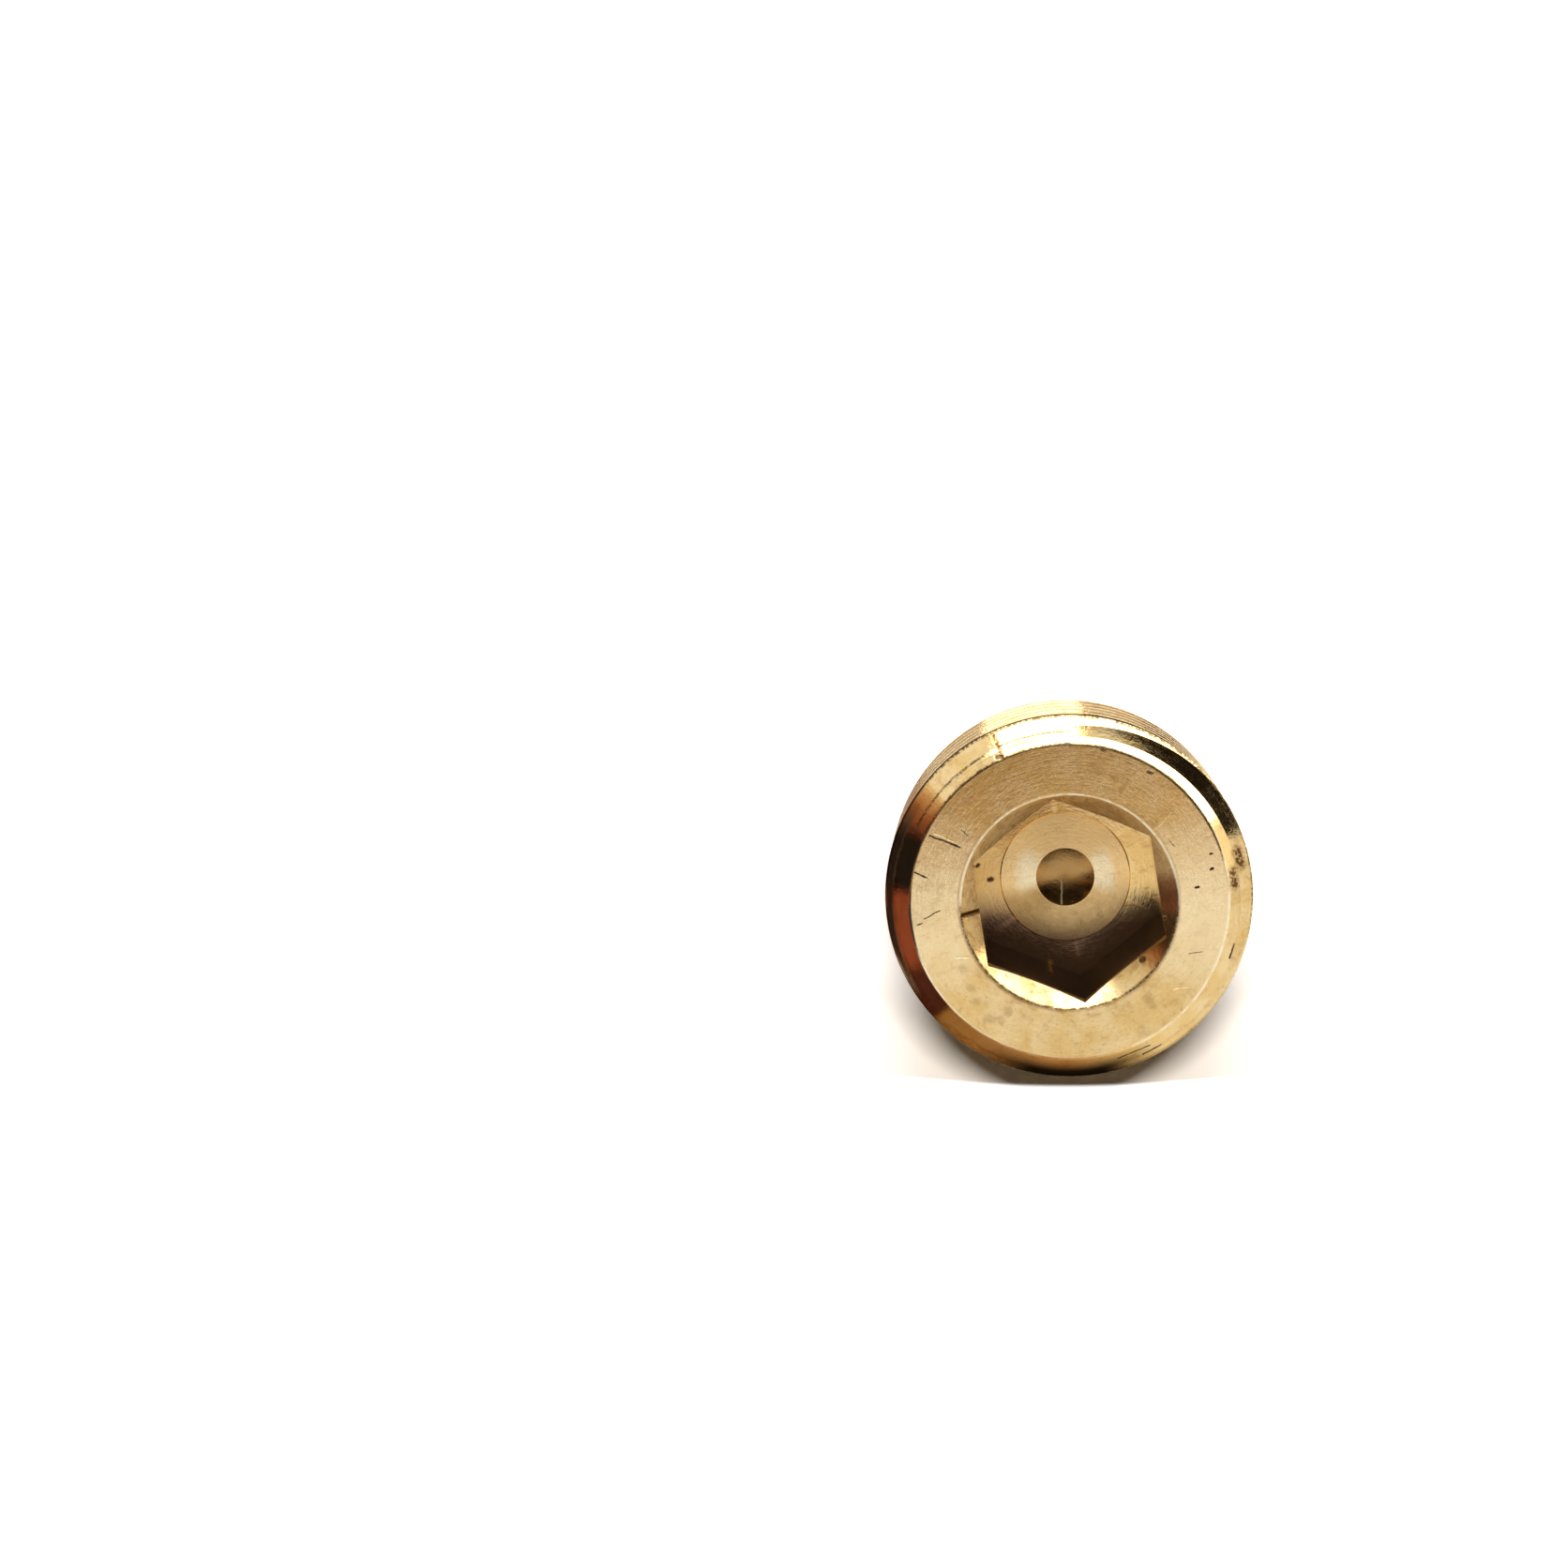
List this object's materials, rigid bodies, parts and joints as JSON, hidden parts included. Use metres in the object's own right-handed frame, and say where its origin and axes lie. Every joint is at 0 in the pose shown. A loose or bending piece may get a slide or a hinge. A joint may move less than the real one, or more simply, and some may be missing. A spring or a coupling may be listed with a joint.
{
  "type": "hex socket plug",
  "caption": "Brass plug with a tapered right-hand pipe thread, chamfered ends and a deep countersunk hexagon socket; screws flush into a threaded port to seal it.",
  "frame": {"origin": "centre of the flat closed face, on the plug's axis", "axes": "+Z runs along the axis from the closed small end out of the hexagon socket; +X passes through a corner of the hexagon"},
  "size_m": [0.021, 0.021, 0.012],
  "materials": {
    "brass": "turned bare brass, lightly tarnished, with fine facing marks, small nicks and burrs"
  },
  "bodies": {
    "root": {"plug_body": "brass"}
  },
  "joints": []
}
